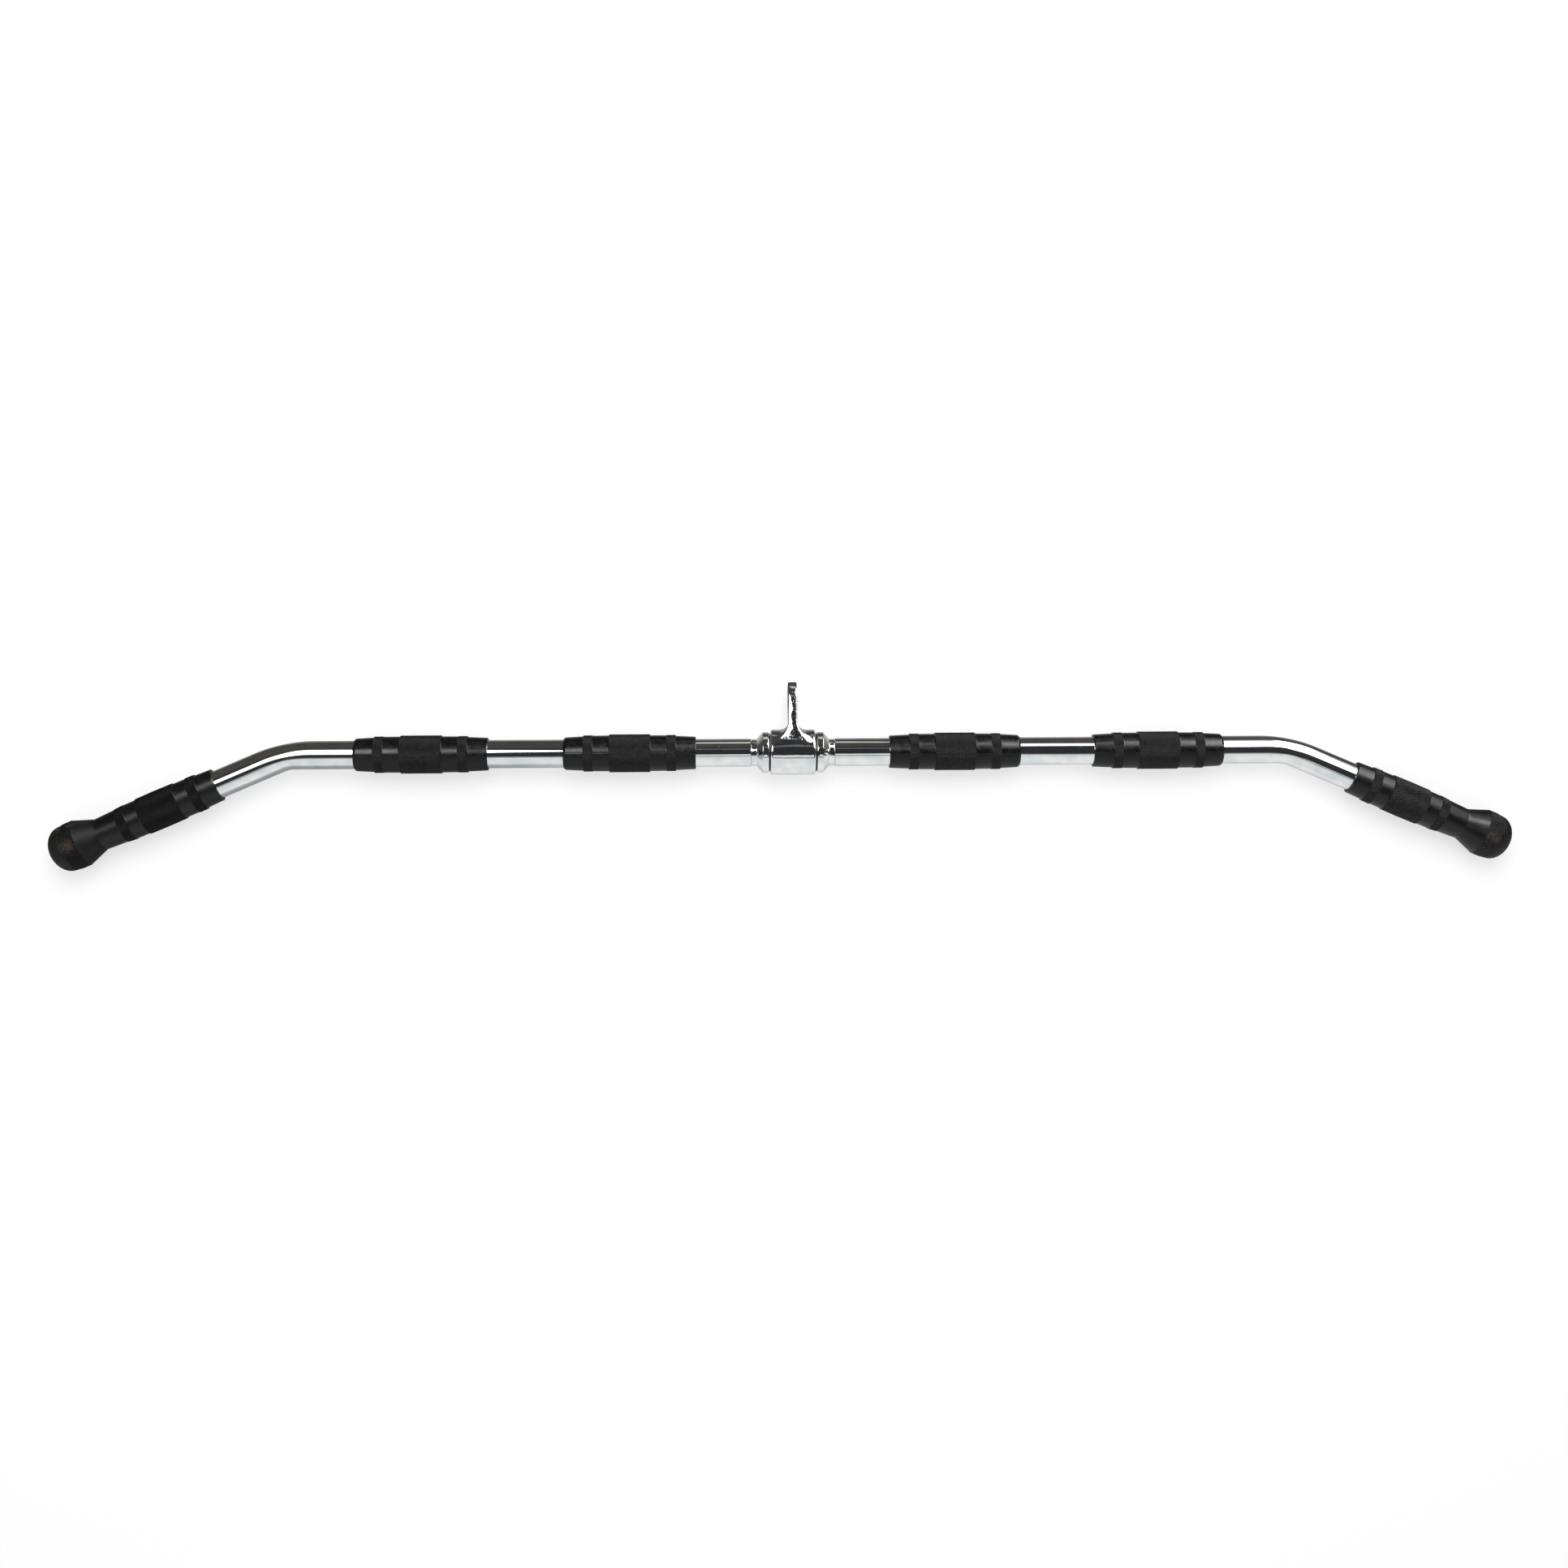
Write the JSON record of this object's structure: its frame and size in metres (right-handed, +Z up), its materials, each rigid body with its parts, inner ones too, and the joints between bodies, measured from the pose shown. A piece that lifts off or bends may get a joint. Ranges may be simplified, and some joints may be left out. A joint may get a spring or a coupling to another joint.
{
  "type": "lat pulldown bar",
  "caption": "Cable machine pulldown bar of bent chromed tube with ribbed rubber hand grips, knobbed ends and a freely swivelling centre hanger with an eye.",
  "frame": {"origin": "middle of the bar's footprint, on the surface that it lies on", "axes": "+X along the bar, +Y the way the hanger's eye points, +Z up from the surface that the bar lies on"},
  "size_m": [1.3236, 0.1658, 0.0432],
  "materials": {
    "chrome": "polished chrome plate on steel",
    "cast_chrome": "chrome plate on a casting, slightly uneven",
    "ground_steel": "ground steel",
    "bronze": "sintered bronze, oiled",
    "black_nylon": "black nylon",
    "rubber": "black moulded rubber, satin, knurled in bands",
    "black_steel": "black oxide steel"
  },
  "bodies": {
    "bar": {"centre_spindle": "ground_steel", "left_tube": "chrome", "left_collar": "chrome", "left_collar_screw": "black_steel", "left_thrust_washer": "black_nylon", "left_inner_grip": "rubber", "left_outer_grip": "rubber", "left_end_grip": "rubber", "left_end_plug": "black_nylon", "right_tube": "chrome", "right_collar": "chrome", "right_collar_screw": "black_steel", "right_thrust_washer": "black_nylon", "right_inner_grip": "rubber", "right_outer_grip": "rubber", "right_end_grip": "rubber", "right_end_plug": "black_nylon"},
    "hanger": {"hanger": "cast_chrome", "left_bush": "bronze", "right_bush": "bronze"}
  },
  "joints": [
    {"name": "hanger_swivel", "type": "hinge", "parent": "bar", "child": "hanger", "pos_m": [0, 0.01903, 0.0216], "axis": [1, 0, 0], "continuous": true}
  ]
}
